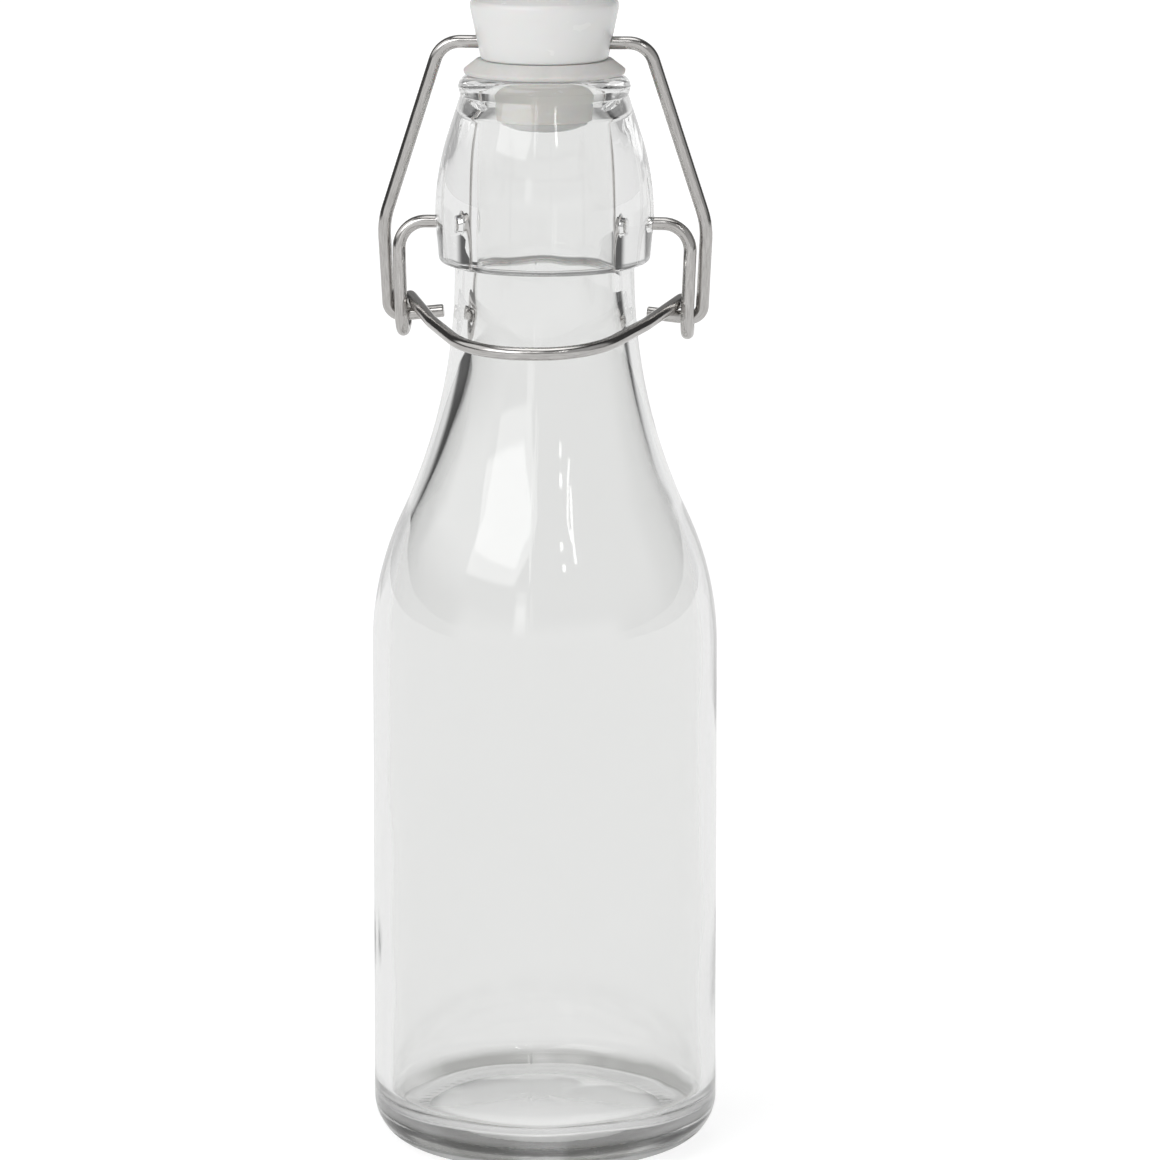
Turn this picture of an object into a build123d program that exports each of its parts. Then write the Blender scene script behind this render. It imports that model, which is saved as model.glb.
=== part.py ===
# Swing-top bottle, about 250 ml: a clear glass bottle closed by a plastic stopper
# that two bent wires pull down onto the mouth.
# The origin is at the centre of the base, +Z is up and -Y is the side of the front bail.
# The wires turn about axes along X. All dimensions are in millimetres.
from build123d import *
import math
import os

os.makedirs("parts", exist_ok=True)

# Glass bottle, outside
body_radius = 30.0
heel_radius = 8.0
rest_ring_width = 1.6
push_up = 2.6
shoulder_start = 88.3
shoulder_radius = 54.0
neck_radius = 15.5
neck_top = 153.7

# Collar, the thick ring of glass that carries the hinge, and the lip above it
collar_foot = 155.1
collar_low_radius = 18.15
collar_low = 155.3
collar_low_round = 1.1
collar_radius = 18.85
collar_widest = 163.0
collar_crown_radius = 48.0
collar_crown_turn = 16.5
groove_radius = 14.45
groove_height = 184.1
lip_radius = 14.8
lip_widest = 185.5
lip_round = 2.0
rim_height = 187.5

# Glass bottle, inside
mouth_radius = 10.2
mouth_round = 1.2
mouth_bottom = 183.0
throat_radius = 11.8
throat_top = 180.0
throat_bottom = 156.5
wall = 2.8
inner_shoulder_start = 88.5
inner_shoulder_radius = 58.5
floor_height = 6.6
floor_crown = 0.9
inner_heel_radius = 4.5

# Wires
wire_diameter = 2.25
wire_clearance = 0.1
wire_radius = wire_diameter / 2

# Hinge of the lever in the collar
hinge_height = 162.0
dimple_depth_from_axis = 14.7
pin_reach = 15.0

# Lever wire: elbow, eye and front bail
elbow_half_width = 25.3
elbow_radius = 4.6
eye_half_width = 24.6
eye_front = -1.5
eye_back = 4.2
eye_bottom = 142.9
eye_top_half_width = 24.2
eye_top_radius = 2.4
bail_slope = math.tan(math.radians(9.3))
bail_height = 148.2
bail_side = (18.3, -11.9)
bail_side_radius = 8.7
bail_front = (10.06, -28.6)
bail_front_radius = 14.3

# Yoke wire: stubs in the lever's eyes, arms and the bar through the stopper
stub_back = 1.35
stub_height = 145.55
stub_tip = 17.6
stub_tip_rise = 0.75
arm_foot_half_width = 27.05
arm_foot_radius = 2.2
knee_half_width = 27.9
knee_height = 161.8
knee_radius = 14.0
bar_height = 193.1
shoulder_half_width = 17.8
yoke_shoulder_radius = 4.5

# Stopper head with its stem
head_bottom = 190.3
head_bottom_radius = 10.9
head_widest_radius = 12.75
head_widest = 199.2
head_edge_radius = 1.3
head_top = 203.6
head_bottom_round = 0.5
stem_radius = 5.0
stem_bead_radius = 7.4
stem_bead_round = 1.3
stem_bottom = 177.2
stem_bead_height = 2.0

# Gasket: a flange on the rim and a tapered plug in the mouth
seal_gap = 0.3
flange_radius = 14.0
flange_edge = 0.7
flange_top_radius = 11.75
plug_top_radius = 8.6
plug_bottom_radius = 8.1
plug_lead = 0.9
plug_bottom = stem_bottom + stem_bead_height
press_gap = 0.05


def turned(outline):
    """A solid of revolution about Z from a closed outline in the XZ plane."""
    return revolve(make_face(outline), Axis.Z)


def at(radius, height):
    """A point of a turned outline."""
    return Vector(radius, 0, height)


def ogee_radius(wide, narrow, low, high, first_radius):
    """Radius of the second of two tangent arcs that join two upright walls."""
    drop = wide - narrow
    radius_sum = (drop ** 2 + (high - low) ** 2) / (2 * drop)
    return radius_sum - first_radius


def ogee(wide, narrow, low, high, first_radius):
    """Two tangent arcs from an upright wall at (wide, low) to one at (narrow, high)."""
    second_radius = ogee_radius(wide, narrow, low, high, first_radius)
    first_centre = at(wide - first_radius, low)
    second_centre = at(narrow + second_radius, high)
    share = first_radius / (first_radius + second_radius)
    turn = first_centre + (second_centre - first_centre) * share
    lower = TangentArc(at(wide, low), turn, tangent=(0, 0, 1))
    upper = TangentArc(turn, at(narrow, high), tangent=lower % 1)
    return [lower, upper]


def glass_bottle():
    """The bottle, with a blind dimple on each side of the collar for the lever's pins."""
    ring_outer = body_radius - heel_radius
    ring_inner = ring_outer - rest_ring_width
    base = TangentArc(at(0, push_up), at(ring_inner, 0), tangent=(1, 0, 0))
    ring = Line(at(ring_inner, 0), at(ring_outer, 0))
    heel = TangentArc(at(ring_outer, 0), at(body_radius, heel_radius), tangent=(1, 0, 0))
    side = Line(at(body_radius, heel_radius), at(body_radius, shoulder_start))
    shoulder = ogee(body_radius, neck_radius, shoulder_start, neck_top, shoulder_radius)

    crown_turn = math.radians(collar_crown_turn)
    crown_end = at(collar_radius - collar_crown_radius * (1 - math.cos(crown_turn)),
                   collar_widest + collar_crown_radius * math.sin(crown_turn))
    neck = Line(at(neck_radius, neck_top), at(neck_radius, collar_foot))
    under = Line(at(neck_radius, collar_foot), at(collar_low_radius, collar_low))
    band = Line(at(collar_low_radius, collar_low), at(collar_radius, collar_widest))
    crown = TangentArc(at(collar_radius, collar_widest), crown_end, tangent=(0, 0, 1))
    cone = Line(crown_end, at(groove_radius, groove_height))
    bead = Line(at(groove_radius, groove_height), at(lip_radius, lip_widest))
    lip = TangentArc(at(lip_radius, lip_widest), at(lip_radius - lip_round, rim_height),
                     tangent=(0, 0, 1))
    rim = Line(at(lip_radius - lip_round, rim_height), at(mouth_radius + mouth_round, rim_height))
    mouth_edge = TangentArc(at(mouth_radius + mouth_round, rim_height),
                            at(mouth_radius, rim_height - mouth_round), tangent=(-1, 0, 0))

    inner_radius = body_radius - wall
    mouth = Line(at(mouth_radius, rim_height - mouth_round), at(mouth_radius, mouth_bottom))
    widening = Line(at(mouth_radius, mouth_bottom), at(throat_radius, throat_top))
    throat = Line(at(throat_radius, throat_top), at(throat_radius, throat_bottom))
    inner_shoulder = ogee(inner_radius, throat_radius, inner_shoulder_start, throat_bottom,
                          inner_shoulder_radius)
    inner_side = Line(at(inner_radius, inner_shoulder_start),
                      at(inner_radius, floor_height + inner_heel_radius))
    floor_edge = at(inner_radius - inner_heel_radius, floor_height)
    inner_heel = TangentArc(at(inner_radius, floor_height + inner_heel_radius), floor_edge,
                            tangent=(0, 0, -1))
    floor = TangentArc(at(0, floor_height + floor_crown), floor_edge, tangent=(1, 0, 0))
    centre = Line(at(0, floor_height + floor_crown), at(0, push_up))

    outline = [base, ring, heel, side, *shoulder, neck, under, band, crown, cone, bead, lip, rim,
               mouth_edge, mouth, widening, throat, *inner_shoulder, inner_side, inner_heel, floor,
               centre]
    bottle = turned(outline)
    soften = bottle.edges().filter_by(GeomType.CIRCLE).filter_by(
        lambda e: abs(e.radius - collar_low_radius) < 0.01 and abs(e.center().Z - collar_low) < 0.01)
    bottle = fillet(soften, collar_low_round)
    dimple_length = collar_radius + 2 - dimple_depth_from_axis
    for side_sign in (-1, 1):
        middle = side_sign * (dimple_depth_from_axis + dimple_length / 2)
        place = Pos(middle, 0, hinge_height) * Rot(0, 90, 0)
        bottle -= place * Cylinder(wire_radius + wire_clearance, dimple_length)
    return bottle


def bent_wire(points, radii):
    """A round wire along straight runs joined by tangent arcs."""
    path = FilletPolyline(*points, radius=radii)
    start = Plane(origin=path @ 0, z_dir=path % 0)
    section = start * Circle(wire_radius)
    return sweep(section, path=path)


def lever_wire():
    """Both pins, elbows and eyes, and the bail round the front of the neck, in one wire."""
    def bail_at(point):
        return (point[0], point[1], bail_height + bail_slope * point[1])

    half = [
        (pin_reach, 0, hinge_height),
        (elbow_half_width, 0, hinge_height),
        (eye_half_width, eye_front, eye_bottom),
        (eye_half_width, eye_back, eye_bottom),
        (eye_top_half_width, eye_back, bail_height + bail_slope * eye_back),
        bail_at(bail_side),
        bail_at(bail_front),
    ]
    eye_radius = (eye_back - eye_front) / 2 - 0.05
    half_radii = [elbow_radius, eye_radius, eye_radius, eye_top_radius, bail_side_radius,
                  bail_front_radius]
    mirrored = [(-x, y, z) for x, y, z in reversed(half)]
    return bent_wire(half + mirrored, half_radii + half_radii[::-1])


def yoke_wire():
    """Both stubs and arms, and the bar that passes through the stopper, in one wire."""
    def lean(height):
        return stub_back * (bar_height - height) / (bar_height - stub_height)

    half = [
        (stub_tip, stub_back, stub_height + stub_tip_rise),
        (eye_half_width, stub_back, stub_height),
        (arm_foot_half_width, stub_back, stub_height),
        (knee_half_width, lean(knee_height), knee_height),
        (shoulder_half_width, 0, bar_height),
    ]
    half_radii = [4.0, arm_foot_radius, knee_radius, yoke_shoulder_radius]
    mirrored = [(-x, y, z) for x, y, z in reversed(half)]
    return bent_wire(half + mirrored, half_radii + half_radii[::-1])


def stopper_head():
    """The moulded head with its cross hole, and the stem that holds the gasket."""
    bottom = head_bottom
    under = Line(at(stem_radius, bottom), at(head_bottom_radius - head_bottom_round, bottom))
    bottom_round = TangentArc(at(head_bottom_radius - head_bottom_round, bottom),
                              at(head_bottom_radius, bottom + head_bottom_round),
                              tangent=(1, 0, 0))
    flank = Line(at(head_bottom_radius, bottom + head_bottom_round),
                 at(head_widest_radius, head_widest))
    edge_top = at(head_widest_radius - head_edge_radius, head_widest + head_edge_radius * 1.3)
    edge = TangentArc(at(head_widest_radius, head_widest), edge_top, tangent=flank % 1)
    dome = TangentArc(at(0, head_top), edge_top, tangent=(1, 0, 0))
    spine = Line(at(0, head_top), at(0, stem_bottom))
    bead_edge = stem_bead_radius - stem_bead_round
    bead_side_low = stem_bottom + stem_bead_round
    foot = Line(at(0, stem_bottom), at(bead_edge, stem_bottom))
    foot_round = TangentArc(at(bead_edge, stem_bottom), at(stem_bead_radius, bead_side_low),
                            tangent=(1, 0, 0))
    bead_side = Line(at(stem_bead_radius, bead_side_low), at(stem_bead_radius, plug_bottom))
    bead_top = Line(at(stem_bead_radius, plug_bottom), at(stem_radius, plug_bottom))
    stem = Line(at(stem_radius, plug_bottom), at(stem_radius, bottom))
    head = turned([under, bottom_round, flank, edge, dome, spine, foot, foot_round, bead_side,
                   bead_top, stem])
    cross_hole = Rot(0, 90, 0) * Cylinder(wire_radius + wire_clearance, 4 * head_widest_radius)
    return head - Pos(0, 0, bar_height) * cross_hole


def stopper_gasket():
    """The soft ring between head and rim, with the tapered plug round the stem."""
    flange_bottom = rim_height + seal_gap
    inner = stem_radius + press_gap
    top = Line(at(inner, head_bottom - press_gap), at(flange_top_radius, head_bottom - press_gap))
    slope = Line(at(flange_top_radius, head_bottom - press_gap),
                 at(flange_radius, flange_bottom + flange_edge))
    edge = Line(at(flange_radius, flange_bottom + flange_edge),
                at(flange_radius - 0.2, flange_bottom))
    under = Line(at(flange_radius - 0.2, flange_bottom), at(plug_top_radius + 0.4, flange_bottom))
    root = TangentArc(at(plug_top_radius + 0.4, flange_bottom),
                      at(plug_top_radius, flange_bottom - 0.4), tangent=(-1, 0, 0))
    taper = Line(at(plug_top_radius, flange_bottom - 0.4),
                 at(plug_bottom_radius, plug_bottom + plug_lead))
    lead = Line(at(plug_bottom_radius, plug_bottom + plug_lead),
                at(stem_bead_radius, plug_bottom + press_gap))
    foot = Line(at(stem_bead_radius, plug_bottom + press_gap), at(inner, plug_bottom + press_gap))
    hole = Line(at(inner, plug_bottom + press_gap), at(inner, head_bottom - press_gap))
    return turned([top, slope, edge, under, root, taper, lead, foot, hole])


pieces = {
    "glass_bottle": glass_bottle(),
    "lever_wire": lever_wire(),
    "yoke_wire": yoke_wire(),
    "stopper_head": stopper_head(),
    "stopper_gasket": stopper_gasket(),
}

for name, shape in pieces.items():
    shape.label = name
    export_step(shape, f"parts/{name}.step")
    print(name, "volume", round(shape.volume, 1), "mm3")
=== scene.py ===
import math

import bmesh
import bpy
from mathutils import Matrix, Vector, noise


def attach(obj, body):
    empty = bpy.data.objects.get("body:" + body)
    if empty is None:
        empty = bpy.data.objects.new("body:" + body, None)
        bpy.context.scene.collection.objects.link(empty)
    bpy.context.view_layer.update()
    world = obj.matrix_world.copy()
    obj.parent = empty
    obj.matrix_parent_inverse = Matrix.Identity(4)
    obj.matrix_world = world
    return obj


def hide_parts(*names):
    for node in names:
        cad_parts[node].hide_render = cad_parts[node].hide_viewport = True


# Looks for the swing-top bottle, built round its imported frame.
# Sizes are written in millimetres, as in the CAD source, and MM turns them into metres.
MM = 0.001

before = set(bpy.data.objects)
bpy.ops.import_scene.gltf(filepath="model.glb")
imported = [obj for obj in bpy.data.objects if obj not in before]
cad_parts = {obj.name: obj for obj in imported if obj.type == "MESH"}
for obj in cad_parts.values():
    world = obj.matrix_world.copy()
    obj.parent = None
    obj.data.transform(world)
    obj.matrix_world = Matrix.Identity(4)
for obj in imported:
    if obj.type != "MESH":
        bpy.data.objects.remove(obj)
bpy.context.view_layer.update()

# ---------------------------------------------------------------- sizes, as in the CAD source
body_radius, heel_radius, rest_ring_width, push_up = 30.0, 8.0, 1.6, 2.6
shoulder_start, shoulder_radius = 88.3, 54.0
neck_radius, neck_top, collar_foot = 15.5, 153.7, 155.1
collar_low_radius, collar_low, collar_low_round = 18.15, 155.3, 1.1
collar_radius, collar_widest = 18.85, 163.0
collar_crown_radius, collar_crown_turn = 48.0, 16.5
groove_radius, groove_height = 14.45, 184.1
lip_radius, lip_widest, lip_round, rim_height = 14.8, 185.5, 2.0, 187.5
mouth_radius, mouth_round, mouth_bottom = 10.2, 1.2, 183.0
throat_radius, throat_top, throat_bottom = 11.8, 180.0, 156.5
wall, inner_shoulder_start, inner_shoulder_radius = 2.8, 88.5, 58.5
floor_height, floor_crown, inner_heel_radius = 6.6, 0.9, 4.5

wire_radius, wire_clearance = 1.125, 0.1
hinge_height, dimple_depth_from_axis, pin_reach = 162.0, 14.7, 15.0
elbow_half_width, elbow_radius = 25.3, 4.6
eye_half_width, eye_front, eye_back, eye_bottom = 24.6, -1.5, 4.2, 142.9
eye_top_half_width, eye_top_radius = 24.2, 2.4
bail_slope, bail_height = math.tan(math.radians(9.3)), 148.2
bail_side, bail_side_radius = (18.3, -11.9), 8.7
bail_front, bail_front_radius = (10.06, -28.6), 14.3
stub_back, stub_height, stub_tip, stub_tip_rise = 1.35, 145.55, 17.6, 0.75
arm_foot_half_width, arm_foot_radius = 27.05, 2.2
knee_half_width, knee_height, knee_radius = 27.9, 161.8, 14.0
bar_height, shoulder_half_width, yoke_shoulder_radius = 193.1, 17.8, 4.5

head_bottom, head_bottom_radius, head_bottom_round = 190.3, 10.9, 0.5
head_widest_radius, head_widest, head_edge_radius, head_top = 12.75, 199.2, 1.3, 203.6
stem_radius, stem_bottom = 5.0, 177.2
stem_bead_radius, stem_bead_round, stem_bead_height = 7.4, 1.3, 2.0
seal_gap, flange_radius, flange_edge, flange_top_radius = 0.3, 14.0, 0.7, 11.75
plug_top_radius, plug_bottom_radius, plug_lead, press_gap = 8.6, 8.1, 0.9, 0.05


# ---------------------------------------------------------------- outlines and meshes
def rounded(points, radii, step=6.0):
    """The polyline with an arc at each inner corner that has a radius above zero."""
    points = [Vector(p) for p in points]
    line = [points[0]]
    for before, corner, after, radius in zip(points, points[1:], points[2:], radii):
        inward, outward = (before - corner).normalized(), (after - corner).normalized()
        half = inward.angle(outward) / 2
        turn = math.pi - 2 * half
        if radius <= 0 or turn < 1e-4:
            line.append(corner)
            continue
        reach = radius / math.tan(half)
        centre = corner + (inward + outward).normalized() * radius / math.sin(half)
        first, last = corner + inward * reach - centre, corner + outward * reach - centre
        count = max(2, math.ceil(math.degrees(turn) / step))
        for i in range(count + 1):
            t = i / count
            line.append(centre + (first * math.sin((1 - t) * turn)
                                  + last * math.sin(t * turn)) / math.sin(turn))
    line.append(points[-1])
    return line


def cap(edge_radius, centre_height, edge_height, steps=14):
    """A shallow dome's outline, from the axis to its edge."""
    rise = centre_height - edge_height
    sphere = (edge_radius ** 2 + rise ** 2) / (2 * abs(rise))
    side = math.copysign(1, rise)
    radii = [edge_radius * i / steps for i in range(steps + 1)]
    return [(r, centre_height - side * (sphere - math.sqrt(sphere ** 2 - r ** 2))) for r in radii]


def ogee(wide, narrow, low, high, first_radius, steps=26):
    """Two tangent arcs from an upright wall at (wide, low) to one at (narrow, high)."""
    drop, rise = wide - narrow, high - low
    both = (drop ** 2 + rise ** 2) / (2 * drop)
    second_radius = both - first_radius
    turn = math.asin(rise / both)
    angles = [turn * i / steps for i in range(steps + 1)]
    lower = [(wide - first_radius * (1 - math.cos(a)), low + first_radius * math.sin(a))
             for a in angles]
    upper = [(narrow + second_radius * (1 - math.cos(a)), high - second_radius * math.sin(a))
             for a in reversed(angles)]
    return lower + upper[1:]


def dense(points, spacing):
    """The outline with points added so that no run is longer than spacing."""
    points = [Vector(p) for p in points]
    line = [points[0]]
    for a, b in zip(points, points[1:]):
        count = max(1, math.ceil((b - a).length / spacing))
        line += [a.lerp(b, i / count) for i in range(1, count + 1) if (b - a).length > 1e-6]
    return line


def finished(name, bm, sharp=32.0):
    """A smooth-shaded object from a bmesh whose lengths are in millimetres."""
    bm.transform(Matrix.Scale(MM, 4))
    bmesh.ops.recalc_face_normals(bm, faces=bm.faces)
    mesh = bpy.data.meshes.new(name)
    bm.to_mesh(mesh)
    bm.free()
    obj = bpy.data.objects.new(name, mesh)
    bpy.context.scene.collection.objects.link(obj)
    mesh.shade_smooth()
    mesh.set_sharp_from_angle(angle=math.radians(sharp))
    return obj


def true_place(radius, height, angle):
    return radius * math.cos(angle), radius * math.sin(angle), height


def lathe(name, runs, angles, sharp=32.0):
    """A closed turned surface. Each run is outline points and the function that places them.
    The outline starts and ends on the axis, or closes on itself."""
    bm = bmesh.new()
    rings = []
    for outline, place in runs:
        for radius, height in outline:
            if radius < 1e-6:
                rings.append([bm.verts.new((0, 0, height))])
            else:
                rings.append([bm.verts.new(place(radius, height, a)) for a in angles])
    pairs = list(zip(rings, rings[1:]))
    if len(rings[0]) > 1:
        pairs.append((rings[-1], rings[0]))
    for low, high in pairs:
        for i in range(len(angles)):
            j = (i + 1) % len(angles)
            if len(low) == 1:
                bm.faces.new((low[0], high[i], high[j]))
            elif len(high) == 1:
                bm.faces.new((low[i], high[0], low[j]))
            else:
                bm.faces.new((low[i], high[i], high[j], low[j]))
    return finished(name, bm, sharp)


def even(count):
    return [math.tau * i / count for i in range(count)]


def cut(obj, cutters, sharp=32.0):
    """Takes the cutters out of obj."""
    for cutter in cutters:
        bite = obj.modifiers.new("cut", "BOOLEAN")
        bite.operation, bite.solver, bite.object = "DIFFERENCE", "EXACT", cutter
    solid = bpy.data.meshes.new_from_object(obj.evaluated_get(
        bpy.context.evaluated_depsgraph_get()))
    obj.modifiers.clear()
    obj.data = solid
    solid.shade_smooth()
    solid.set_sharp_from_angle(angle=math.radians(sharp))
    for cutter in cutters:
        bpy.data.objects.remove(cutter)


def across(name, outline, side):
    """A turned cutter whose axis lies along X through the origin; the caller lifts it to the
    hinge's or the cross bar's height.
    """
    obj = lathe(name, [(outline, true_place)], even(56))
    obj.data.transform(Matrix.Rotation(math.radians(90) * side, 4, "Y"))
    return obj


def wire(name, points, radii, end_round=0.18, sides=28):
    """A drawn round wire with a cut face and a small edge round at each end.
    Its UV map runs once round the wire, and along it from 0 at one end to 1 at the other."""
    line = dense(rounded(points, radii, 5.0), 3.0)
    stations = [(0, wire_radius - end_round), (end_round, wire_radius)]
    total = sum((b - a).length for a, b in zip(line, line[1:]))
    tangent = (line[1] - line[0]).normalized()
    side = tangent.orthogonal().normalized()
    bm = bmesh.new()
    layer = bm.loops.layers.uv.new("wire")
    rings, travelled = [], 0.0
    for i, point in enumerate(line):
        if i:
            travelled += (point - line[i - 1]).length
        ahead = (line[min(i + 1, len(line) - 1)] - line[max(i - 1, 0)]).normalized()
        side = (tangent.rotation_difference(ahead) @ side).normalized()
        tangent = ahead
        other = tangent.cross(side)
        if i == 0:
            spots = stations
        elif i == len(line) - 1:
            spots = [(-depth, r) for depth, r in reversed(stations)]
        else:
            spots = [(0, wire_radius)]
        for depth, r in spots:
            ring = [bm.verts.new(point + tangent * depth + (side * math.cos(a)
                                                           + other * math.sin(a)) * r)
                    for a in even(sides)]
            rings.append((ring, travelled + depth))
    for (low, v0), (high, v1) in zip(rings, rings[1:]):
        for k in range(sides):
            m = (k + 1) % sides
            face = bm.faces.new((low[k], low[m], high[m], high[k]))
            for loop, (u, v) in zip(face.loops, ((k, v0), (k + 1, v0), (k + 1, v1), (k, v1))):
                loop[layer].uv = (u / sides, v / total)
    for ring, at in ((rings[0][0], 0.0), (rings[-1][0], 1.0)):
        centre = bm.verts.new(sum((v.co for v in ring), Vector()) / sides)
        for k in range(sides):
            face = bm.faces.new((ring[k], ring[(k + 1) % sides], centre))
            for loop in face.loops:
                loop[layer].uv = (k / sides, at)
    return finished(name, bm, 40.0)


# ---------------------------------------------------------------- materials
class Nodes:
    """Short forms for building a material's or the world's nodes."""

    def __init__(self, tree):
        self.tree, self.count = tree, 0

    def new(self, kind, inputs=(), **settings):
        node = self.tree.nodes.new(kind)
        node.location = (-220 * (self.count % 9), -180 * (self.count // 9))
        self.count += 1
        for key, value in settings.items():
            setattr(node, key, value)
        for key, value in dict(inputs).items():
            if isinstance(value, bpy.types.NodeSocket):
                self.tree.links.new(value, node.inputs[key])
            else:
                node.inputs[key].default_value = value
        return node

    def math(self, operation, *values):
        return self.new("ShaderNodeMath", enumerate(values), operation=operation).outputs[0]

    def ramp(self, value, low, high, to_low=0.0, to_high=1.0, smooth=False):
        return self.new("ShaderNodeMapRange", {0: value, 1: low, 2: high, 3: to_low, 4: to_high},
                        interpolation_type="SMOOTHSTEP" if smooth else "LINEAR").outputs[0]

    def noise(self, vector, scale, detail=3.0, rough=0.5):
        return self.new("ShaderNodeTexNoise", {"Vector": vector, "Scale": scale, "Detail": detail,
                                               "Roughness": rough}).outputs["Fac"]

    def scaled(self, vector, scale):
        return self.new("ShaderNodeMapping", {"Vector": vector, "Scale": scale}).outputs[0]

    def blend(self, value, first, second):
        return self.new("ShaderNodeMix", {0: value, 6: first, 7: second},
                        data_type="RGBA").outputs[2]

    def bump(self, height, strength, distance):
        return self.new("ShaderNodeBump", {"Height": height, "Strength": strength,
                                           "Distance": distance}).outputs[0]


def grey(value, warm=0.0, alpha=1.0):
    return (value * (1 + warm), value, value * (1 - warm), alpha)


def material(name):
    made = bpy.data.materials.new(name)
    made.use_nodes = True
    shader = made.node_tree.nodes["Principled BSDF"]
    nodes = Nodes(made.node_tree)
    place = nodes.new("ShaderNodeTexCoord").outputs["Object"]
    return made, shader, nodes, place


def wire_up(nodes, shader, **sockets):
    for key, value in sockets.items():
        socket = shader.inputs[key.replace("_", " ")]
        if isinstance(value, bpy.types.NodeSocket):
            nodes.tree.links.new(value, socket)
        else:
            socket.default_value = value


def glass_material():
    """Clear glass with a faint ripple, a stippled underside and painted shade round the heel: a
    dark, mottled band in its colour. Two weak glows stand in for light that stays in the wall for
    many bounces, and for light from below."""
    made, shader, nodes, place = material("clear_glass")
    height = nodes.new("ShaderNodeSeparateXYZ", {0: place}).outputs[2]
    reach = nodes.new("ShaderNodeVectorMath", {0: nodes.scaled(place, (1, 1, 0))},
                      operation="LENGTH").outputs["Value"]
    ripple = nodes.noise(nodes.scaled(place, (1, 1, 0.35)), 95.0, 2.0)
    grain = nodes.noise(place, 900.0, 2.0)
    near_base = nodes.ramp(height, 0.004, 0.009, 1.0, 0.0, True)
    relief = nodes.math("ADD", ripple, nodes.math("MULTIPLY", grain,
                                                  nodes.math("MULTIPLY", near_base, 0.25)))
    haze = nodes.ramp(nodes.noise(place, 55.0, 4.0, 0.6), 0.55, 0.8, 0.0, 0.05)
    stippled = nodes.ramp(height, 0.0026, 0.0036, 0.45, 0.0, True)
    tint = nodes.blend(nodes.noise(place, 24.0, 2.0), (0.935, 0.938, 0.932, 1),
                       (0.958, 0.960, 0.955, 1))
    # Painted shade: a dark, mottled band is painted into the glass's colour low round the heel.
    heel = nodes.math("MULTIPLY", nodes.ramp(reach, 0.0274, 0.0278),
                      nodes.ramp(height, 0.0058, 0.0088, 1.0, 0.0))
    shade_blotches = nodes.ramp(nodes.noise(nodes.scaled(place, (1, 1, 0.4)), 62.0, 2.0),
                          0.42, 0.64, 1.0, 0.45, True)
    tint = nodes.blend(nodes.math("MULTIPLY", heel, shade_blotches), tint, (0.27, 0.27, 0.258, 1))
    depth = nodes.new("ShaderNodeLightPath").outputs["Ray Depth"]
    trapped = nodes.math("MULTIPLY", nodes.ramp(depth, 10.0, 12.0, 0.0, 0.09),
                         nodes.ramp(height, 0.055, 0.085, smooth=True))
    from_below = nodes.math("MULTIPLY", stippled, nodes.ramp(reach, 0.018, 0.021, 0.45, 0.0, True))
    wire_up(nodes, shader, Base_Color=tint, Roughness=nodes.math("MAXIMUM", haze, stippled),
            IOR=1.5, Transmission_Weight=1.0,
            Emission_Strength=nodes.math("ADD", trapped, from_below),
            Normal=nodes.bump(relief, 0.10, 0.0006))
    return made


def steel_material():
    """Drawn wire: fine streaks run along it, from the UV map that goes round and along."""
    made, shader, nodes, place = material("bright_wire")
    uv = nodes.new("ShaderNodeTexCoord").outputs["UV"]
    split = nodes.new("ShaderNodeSeparateXYZ", {0: uv})
    turn = nodes.math("MULTIPLY", split.outputs[0], math.tau)
    round_wire = nodes.new("ShaderNodeCombineXYZ", {
        0: nodes.math("COSINE", turn),
        1: nodes.math("SINE", turn),
        2: nodes.math("MULTIPLY", split.outputs[1], 9.0)}).outputs[0]
    streaks = nodes.noise(round_wire, 7.0, 5.0, 0.65)
    fine = nodes.noise(nodes.scaled(round_wire, (3.5, 3.5, 1.0)), 9.0, 3.0)
    marks = nodes.noise(place, 480.0, 3.0, 0.6)
    tone = nodes.blend(nodes.ramp(streaks, 0.32, 0.68), grey(0.42, 0.030), grey(0.62, 0.022))
    dull = nodes.ramp(nodes.math("ADD", streaks, nodes.math("MULTIPLY", marks, 0.5)),
                      0.5, 1.0, 0.06, 0.20)
    relief = nodes.math("ADD", fine, nodes.math("MULTIPLY", marks, 0.35))
    wire_up(nodes, shader, Base_Color=tone, Metallic=1.0, Roughness=dull,
            Normal=nodes.bump(relief, 0.22, 0.00003))
    return made


def plastic_material():
    made, shader, nodes, place = material("white_plastic")
    flow = nodes.noise(nodes.scaled(place, (1, 1, 2.2)), 130.0, 3.0)
    grain = nodes.noise(place, 2600.0, 2.0)
    scuffs = nodes.ramp(nodes.noise(place, 420.0, 5.0, 0.7), 0.64, 0.78)
    tone = nodes.blend(flow, (0.84, 0.84, 0.83, 1), (0.88, 0.88, 0.87, 1))
    tone = nodes.blend(nodes.math("MULTIPLY", scuffs, 0.08), tone, (0.70, 0.70, 0.69, 1))
    wire_up(nodes, shader, Base_Color=tone, IOR=1.49,
            Roughness=nodes.ramp(nodes.math("ADD", flow, scuffs), 0.3, 1.4, 0.22, 0.38),
            Subsurface_Weight=0.12, Subsurface_Scale=0.0012, Coat_Weight=0.3,
            Coat_Roughness=0.08, Normal=nodes.bump(nodes.math("ADD", flow, grain), 0.12, 0.00005))
    return made


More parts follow.
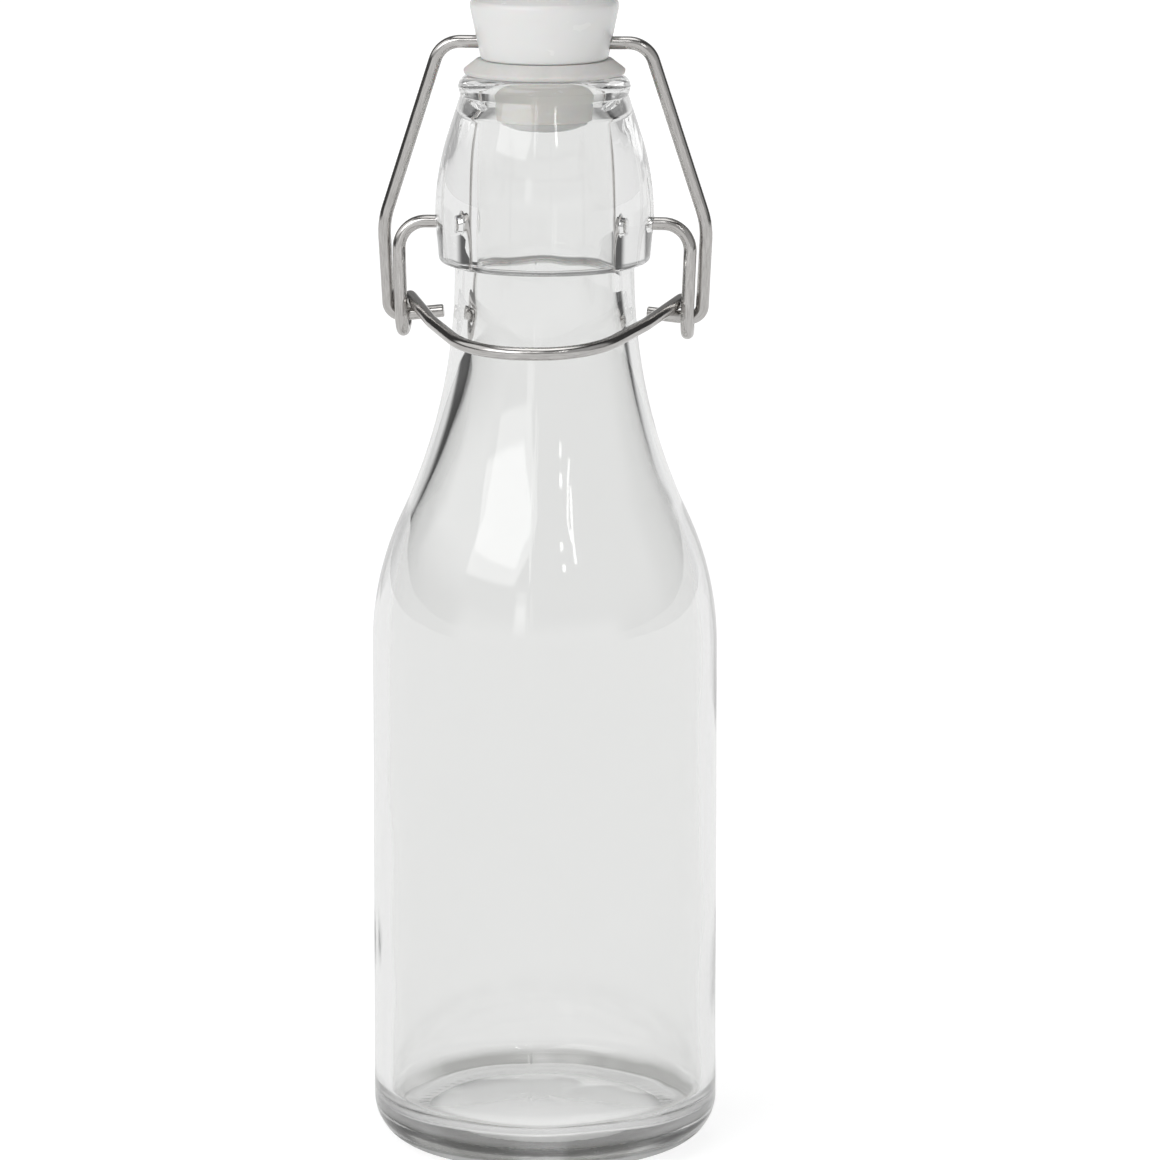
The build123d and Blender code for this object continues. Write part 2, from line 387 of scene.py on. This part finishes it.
def gasket_material():
    """A pale soft moulding. Below the rim its plug has painted light: a lighter colour and a weak
    glow.
    """
    made, shader, nodes, place = material("pale_gasket")
    cloud = nodes.noise(place, 260.0, 4.0, 0.6)
    grain = nodes.noise(place, 1900.0, 3.0, 0.7)
    tone = nodes.blend(nodes.ramp(cloud, 0.3, 0.7), (0.70, 0.695, 0.675, 1),
                       (0.77, 0.763, 0.745, 1))
    height = nodes.new("ShaderNodeSeparateXYZ", {0: place}).outputs[2]
    # Painted light: below the rim the plug is painted lighter and given a weak glow, for light that
    # reaches it through the glass.
    plug_painted_light = nodes.ramp(height, (rim_height - 1.5) * MM, rim_height * MM, 1.0, 0.0, True)
    tone = nodes.blend(plug_painted_light, tone, (0.95, 0.935, 0.885, 1))
    wire_up(nodes, shader, Base_Color=tone, IOR=1.42,
            Roughness=nodes.ramp(grain, 0.3, 0.7, 0.48, 0.68),
            Emission_Color=(1, 0.98, 0.93, 1),
            Emission_Strength=nodes.math("MULTIPLY", plug_painted_light, 0.1),
            Subsurface_Weight=0.25, Subsurface_Scale=0.0015,
            Normal=nodes.bump(nodes.math("ADD", cloud, grain), 0.35, 0.00008))
    return made


def dress(obj, made, slot, body, *nodes):
    obj.data.materials.clear()
    obj.data.materials.append(made)
    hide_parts(*nodes)
    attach(obj, body)


# ---------------------------------------------------------------- glass bottle
def glass_outline():
    """The outline up the outside to the throat, and down the inside to the floor."""
    ring_inner = body_radius - heel_radius - rest_ring_width
    turn = math.radians(collar_crown_turn)
    crown = [(collar_radius - collar_crown_radius * (1 - math.cos(turn * i / 8)),
              collar_widest + collar_crown_radius * math.sin(turn * i / 8)) for i in range(9)]

    def plane(points, radii, step=8.0):
        return [(p.x, p.y) for p in rounded([(*q, 0) for q in points], radii, step)]

    under_base = cap(ring_inner, push_up, 0)
    heel = plane([under_base[-2], under_base[-1], (body_radius, 0),
                  (body_radius, shoulder_start)], [0.8, heel_radius], 5.0)
    shoulder = ogee(body_radius, neck_radius, shoulder_start, neck_top, shoulder_radius)
    low_collar = plane([shoulder[-1], (neck_radius, collar_foot),
                        (collar_low_radius, collar_low), crown[0]], [0.5, collar_low_round])
    lip = plane([crown[-1], (groove_radius, groove_height), (lip_radius, lip_widest),
                 (lip_radius, rim_height), (mouth_radius, rim_height),
                 (mouth_radius, mouth_bottom), (throat_radius, throat_top),
                 (throat_radius, throat_bottom)],
                [0.35, 0.6, lip_round, mouth_round, 1.0, 2.0])
    outside = under_base[:-1] + heel[1:] + shoulder[1:] + low_collar[1:] + crown[1:] + lip[1:-1]
    inner_radius = body_radius - wall
    inner_shoulder = ogee(inner_radius, throat_radius, inner_shoulder_start, throat_bottom,
                          inner_shoulder_radius)
    floor = cap(inner_radius - inner_heel_radius, floor_height + floor_crown, floor_height)
    inner_heel = plane([(inner_radius, inner_shoulder_start), (inner_radius, floor_height),
                        floor[-1]], [inner_heel_radius], 5.0)
    inside = inner_shoulder[::-1] + inner_heel[1:] + floor[-2::-1]
    return ([(p.x, p.y) for p in dense(outside, 2.4)],
            [(p.x, p.y) for p in dense(inside, 2.4)])


def hump(value, low, high):
    """A smooth rise and fall between two values."""
    if not low < value < high:
        return 0.0
    return math.sin(math.pi * (value - low) / (high - low)) ** 2


def fade(value, low, high):
    """A smooth step from 0 at low to 1 at high."""
    t = min(1.0, max(0.0, (value - low) / (high - low)))
    return t * t * (3 - 2 * t)


seam_angles = (-math.pi / 2, math.pi / 2)
seam_half = math.radians(1.5)


def seam_ridge(angle, radius):
    """Height of the two mould seams, which are a third of a millimetre wide."""
    ridge = 0.0
    for seam in seam_angles:
        off = abs((angle - seam + math.pi) % math.tau - math.pi) * radius
        ridge += 0.07 * math.exp(-(off / 0.16) ** 2)
    return ridge


def outside_place(radius, height, angle):
    """The outer surface: slightly uneven, with the mould seams and the base's knurled ring."""
    x, y = math.cos(angle), math.sin(angle)
    soft = (noise.noise(Vector((x * 1.3, y * 1.3, height / 42))) - 0.7) * 0.09
    radius += soft * fade(height, 9, 25) * (1 - fade(height, 128, 150))
    mould = fade(height, 5, 12) * (1 - fade(height, 150, 152.6))
    finish_mould = fade(height, 154.5, 157) * (1 - fade(height, 183, 184.5))
    radius += seam_ridge(angle, radius) * max(mould, finish_mould)
    radius = min(radius, body_radius)
    lift = 0.0
    if height < 2.6 and radius > 17:
        knurl = 0.5 + 0.5 * math.cos(64 * angle)
        lift = 0.16 * knurl * hump(radius, 20.2, 23.4)
    return radius * x, radius * y, height + lift


def inside_place(radius, height, angle):
    """The inner surface: a wall that wavers, and a neck cavity that is a little off centre."""
    x, y = math.cos(angle), math.sin(angle)
    uneven = fade(height, 8, 16) * (1 - fade(height, 168, 176))
    broad = noise.noise(Vector((x * 0.9 + 7, y * 0.9, height / 38)))
    fine = noise.noise(Vector((x * 2.6 + 3, y * 2.6, height / 13)))
    settled = 0.35 + 0.65 * (1 - fade(height, 60, 95))
    radius += uneven * (0.28 * broad + 0.10 * fine) * settled
    pressed = noise.noise(Vector((x * 3.1, y * 3.1 + 9, height / 6)))
    radius += 0.20 * pressed * fade(height, 146, 160) * (1 - fade(height, 172, 179))
    low_spots = noise.noise(Vector((x * 1.8, y * 1.8 + 5, 0.3))) * 0.35 * (1 - fade(height, 9, 22))
    shift = 0.5 * hump(height, 112, 160)
    return radius * x + shift, radius * y, height + low_spots * min(1.0, radius / 20)


def bottle_piece():
    outside, inside = glass_outline()
    angles = set(even(224))
    for seam in seam_angles:
        for step in range(-6, 7):
            angles.add((seam + seam_half * step / 6) % math.tau)
    angles = sorted(angles)
    bottle = lathe("bottle_glass", [(outside, outside_place), (inside, inside_place)],
                   angles, 40.0)
    pit_radius = wire_radius + wire_clearance
    pit = [(0, dimple_depth_from_axis), (pit_radius - 0.3, dimple_depth_from_axis),
           (pit_radius, dimple_depth_from_axis + 0.3), (pit_radius, collar_radius - 1.0),
           (pit_radius + 0.12, collar_radius - 0.5), (pit_radius + 0.45, collar_radius - 0.1),
           (pit_radius + 1.3, collar_radius + 0.6), (0, collar_radius + 0.6)]
    cutters = []
    for side in (-1, 1):
        cutter = across("pit", pit, side)
        cutter.data.transform(Matrix.Translation((0, 0, hinge_height * MM)))
        cutters.append(cutter)
    cut(bottle, cutters, 40.0)
    return bottle


# ---------------------------------------------------------------- wires
def mirrored(half, radii):
    """The whole wire from its right half, which ends at the middle."""
    return half + [(-x, y, z) for x, y, z in reversed(half)], radii + radii[::-1]


def lever_piece():
    def bail_at(point):
        return (point[0], point[1], bail_height + bail_slope * point[1])

    half = [(pin_reach, 0, hinge_height), (elbow_half_width, 0, hinge_height),
            (eye_half_width, eye_front, eye_bottom), (eye_half_width, eye_back, eye_bottom),
            (eye_top_half_width, eye_back, bail_height + bail_slope * eye_back),
            bail_at(bail_side), bail_at(bail_front)]
    eye_radius = (eye_back - eye_front) / 2 - 0.05
    radii = [elbow_radius, eye_radius, eye_radius, eye_top_radius, bail_side_radius,
             bail_front_radius]
    return wire("lever_bail", *mirrored(half, radii))


def yoke_piece():
    lean = stub_back * (bar_height - knee_height) / (bar_height - stub_height)
    half = [(stub_tip, stub_back, stub_height + stub_tip_rise),
            (eye_half_width, stub_back, stub_height),
            (arm_foot_half_width, stub_back, stub_height),
            (knee_half_width, lean, knee_height), (shoulder_half_width, 0, bar_height)]
    return wire("yoke_bail", *mirrored(half, [4.0, arm_foot_radius, knee_radius,
                                              yoke_shoulder_radius]))


# ---------------------------------------------------------------- stopper and gasket
def stopper_piece():
    plug_bottom = stem_bottom + stem_bead_height
    shoulder = (head_widest_radius - head_edge_radius, head_widest + head_edge_radius * 1.3)
    dome = [(r, z - 0.22 * (1 - fade(r, 1.2, 1.9)))
            for r, z in cap(shoulder[0], head_top, shoulder[1], 24)]
    flank = [(stem_radius, head_bottom), (head_bottom_radius, head_bottom),
             (head_widest_radius, head_widest), (head_widest_radius, head_widest + 1.15),
             dome[-2]]
    flank = [(p.x, p.y) for p in rounded([(*q, 0) for q in flank],
                                         [head_bottom_round, 3.0, 1.0], 8.0)]
    stem = [(0, stem_bottom), (stem_bead_radius, stem_bottom), (stem_bead_radius, plug_bottom),
            (stem_radius, plug_bottom), (stem_radius, head_bottom)]
    stem = [(p.x, p.y) for p in rounded([(*q, 0) for q in stem],
                                        [stem_bead_round, 0.15, 0], 12.0)]
    outline = stem + flank[1:] + dome[-3::-1]

    def place(radius, height, angle):
        """The head's parting line stands a little proud, along the cross bar's plane."""
        off = abs(math.sin(angle)) * radius
        if head_bottom < height and radius > 2.5:
            radius += 0.05 * math.exp(-(off / 0.14) ** 2) * (1 - fade(height, 199.0, 203.0))
            radius = min(radius, head_widest_radius)
        return radius * math.cos(angle), radius * math.sin(angle), height

    angles = set(even(160))
    for step in range(-5, 6):
        angles.add(math.radians(0.35 * step) % math.tau)
        angles.add(math.pi + math.radians(0.35 * step))
    outline = [(p.x, p.y) for p in dense(outline, 1.6)]
    head = lathe("stopper_cap", [(outline, place)], sorted(angles), 38.0)
    hole = wire_radius + wire_clearance
    bore = [(0, -16), (hole + 2.0, -16), (hole + 0.9, -13), (hole, -10.6), (hole, 10.6),
            (hole + 0.9, 13), (hole + 2.0, 16), (0, 16)]
    cutter = across("bore", bore, 1)
    cutter.data.transform(Matrix.Translation((0, 0, bar_height * MM)))
    cut(head, [cutter], 38.0)
    return head


def gasket_piece():
    bottom = rim_height + seal_gap
    top = head_bottom - press_gap
    plug_bottom = stem_bottom + stem_bead_height + press_gap
    inner = stem_radius + press_gap
    outline = [(inner, top), (flange_top_radius, top), (flange_radius, bottom + flange_edge),
               (flange_radius - 0.15, bottom), (plug_top_radius, bottom),
               (plug_bottom_radius, plug_bottom + plug_lead), (stem_bead_radius, plug_bottom),
               (inner, plug_bottom), (inner, top)]
    outline = rounded([(*q, 0) for q in outline], [0.25, 0.3, 0.25, 0.5, 0.3, 0.2, 0.1], 12.0)
    outline = [(p.x, p.y) for p in dense(outline, 0.8)][:-1]

    def place(radius, height, angle):
        """The soft flange's edge isn't perfectly even."""
        if radius > 10.5 and height > bottom - 1:
            sway = noise.noise(Vector((math.cos(angle) * 2, math.sin(angle) * 2, height / 3)))
            radius += 0.07 * (sway - 1.0)
        return radius * math.cos(angle), radius * math.sin(angle), height

    return lathe("stopper_seal", [(outline, place)], even(144), 45.0)


steel = steel_material()
dress(bottle_piece(), glass_material(), "clear_glass", "bottle", "glass_bottle")
dress(lever_piece(), steel, "bright_wire", "lever", "lever_wire")
dress(yoke_piece(), steel, "bright_wire", "yoke", "yoke_wire")
dress(stopper_piece(), plastic_material(), "white_plastic", "stopper", "stopper_head")
dress(gasket_piece(), gasket_material(), "pale_gasket", "stopper", "stopper_gasket")


# ---------------------------------------------------------------- floor, light and camera
floor_radii = (0.0, 0.2, 0.6, 1.5, 4.0, 9.0)
floor_sides = 48


def floor_piece():
    """A wide pale disc that gives light of its own, more to the camera than to the object."""
    bm = bmesh.new()
    rings = []
    for radius in floor_radii:
        count = 1 if radius == 0 else floor_sides
        rings.append([bm.verts.new((radius * math.cos(a), radius * math.sin(a), 0))
                      for a in even(count)])
    for i in range(floor_sides):
        j = (i + 1) % floor_sides
        bm.faces.new((rings[0][0], rings[1][i], rings[1][j]))
        for low, high in zip(rings[1:], rings[2:]):
            bm.faces.new((low[i], high[i], high[j], low[j]))
    mesh = bpy.data.meshes.new("studio_floor")
    bm.to_mesh(mesh)
    bm.free()
    floor = bpy.data.objects.new("studio_floor", mesh)
    bpy.context.scene.collection.objects.link(floor)
    made, shader, nodes, place = material("pale_floor")
    paper = nodes.noise(place, 700.0, 3.0)
    seen = nodes.new("ShaderNodeLightPath").outputs["Is Camera Ray"]
    own = nodes.ramp(seen, 0.0, 1.0, 0.665, 0.80)
    tone = nodes.blend(seen, nodes.blend(paper, grey(0.28), grey(0.32)), grey(0.45))
    wire_up(nodes, shader, Base_Color=tone, Roughness=1.0, Specular_IOR_Level=0.0,
            Emission_Color=(1, 1, 1, 1), Emission_Strength=own)
    mesh.materials.append(made)


# Angles in degrees, lengths in metres, the lens in millimetres
camera_azimuth = 5.0
camera_distance = 1.2
camera_height = 0.325
aim_right, aim_height = 0.0061, 0.0994
camera_lens = 218.2

overhead_power = 1.8
ambient_power = 0.06

# Lit areas: power, left and right bearing, lowest and highest rise, soft edge, lean.
# Bearing 0 is straight in front of the bottle, and negative bearings are at the left.
lit_areas = (
    # a large soft box whose right edge leans
    (2.6, -56.0, -18.0, 21.0, 48.0, 1.2, 0.75),
    # a small low area left of the camera
    (1.5, -16.0, -9.0, 4.0, 14.0, 1.5),
    # an upright strip at the right
    (8.0, 29.0, 31.0, 29.0, 48.0, 0.7),
    # a small lamp at the right
    (10.0, 19.0, 21.6, 27.0, 29.6, 0.7),
    # a weak fill at the far left
    (1.0, -104.0, -56.0, 15.0, 60.0, 6.0),
    # a weak fill over the front and the right
    (0.42, -58.0, 95.0, 4.0, 50.0, 8.0))


def studio_world():
    """Light by direction: a bright area behind the bottle, a low bright horizon in front of it,
    light from overhead, and the lit areas above. The rest is nearly dark. The camera sees white."""
    world = bpy.data.worlds.new("studio")
    bpy.context.scene.world = world
    world.use_nodes = True
    nodes = Nodes(world.node_tree)
    back = world.node_tree.nodes["Background"]
    direction = nodes.new("ShaderNodeTexCoord").outputs["Generated"]
    x, y, z = nodes.new("ShaderNodeSeparateXYZ", {0: direction}).outputs[:3]
    bearing = nodes.math("DEGREES", nodes.math("ARCTAN2", x, nodes.math("MULTIPLY", y, -1.0)))
    rise = nodes.math("DEGREES", nodes.math("ARCSINE", z))

    def band(value, low, high, soft):
        return nodes.math("MULTIPLY",
                          nodes.ramp(value, low - soft, low + soft, smooth=True),
                          nodes.ramp(value, high - soft, high + soft, 1.0, 0.0, smooth=True))

    def patch(power, left, right, bottom, top, soft, lean=0.0):
        """A lit area; lean moves its right edge, in degrees for each degree above its bottom."""
        edge = nodes.math("SUBTRACT", bearing,
                          nodes.math("MULTIPLY", nodes.math("SUBTRACT", rise, bottom), lean))
        area = nodes.math("MULTIPLY", nodes.ramp(bearing, left - soft, left + soft, smooth=True),
                          nodes.ramp(edge, right - soft, right + soft, 1.0, 0.0, smooth=True))
        area = nodes.math("MULTIPLY", area, band(rise, bottom, top, soft))
        return nodes.math("MULTIPLY", area, power)

    aside = nodes.math("ABSOLUTE", bearing)
    behind = nodes.math("MULTIPLY", nodes.ramp(aside, 138.0, 150.0, smooth=True),
                        nodes.ramp(rise, 5.0, 13.0, 0.78, 0.20, True))
    ahead = nodes.math("MULTIPLY", nodes.ramp(aside, 50.0, 68.0, 1.0, 0.0, True),
                       nodes.ramp(rise, 2.0, 8.0, 0.80, 0.0, True))
    level = nodes.math("ADD", ambient_power, nodes.math("ADD", behind, ahead))
    level = nodes.math("ADD", level, nodes.ramp(rise, 66.0, 76.0, 0.0, overhead_power, True))
    for area in lit_areas:
        level = nodes.math("ADD", level, patch(*area))
    seen = nodes.new("ShaderNodeLightPath").outputs["Is Camera Ray"]
    level = nodes.new("ShaderNodeMix", {0: seen, 2: level, 3: 1.0}).outputs[0]
    back.inputs["Color"].default_value = (1, 1, 1, 1)
    nodes.tree.links.new(level, back.inputs["Strength"])
    world.cycles.sampling_method = "MANUAL"
    world.cycles.sample_map_resolution = 1024


def studio_camera():
    """At the photograph's viewing angle: above the bottle, looking about 11 degrees down."""
    azimuth = math.radians(camera_azimuth)
    place = Vector((camera_distance * math.sin(azimuth), -camera_distance * math.cos(azimuth),
                    camera_height))
    right = Vector((math.cos(azimuth), math.sin(azimuth), 0))
    aim = right * aim_right + Vector((0, 0, aim_height))
    camera = bpy.data.cameras.new("camera")
    camera.lens, camera.sensor_width = camera_lens, 36.0
    camera.clip_start, camera.clip_end = 0.05, 60.0
    obj = bpy.data.objects.new("camera", camera)
    bpy.context.scene.collection.objects.link(obj)
    obj.location = place
    obj.rotation_euler = (aim - place).to_track_quat("-Z", "Y").to_euler()
    bpy.context.scene.camera = obj


floor_piece()
studio_world()
studio_camera()

scene = bpy.context.scene
scene.view_settings.view_transform = "Standard"
scene.cycles.max_bounces = 28
scene.cycles.glossy_bounces = 14
scene.cycles.transmission_bounces = 20
scene.cycles.sample_clamp_indirect = 8.0
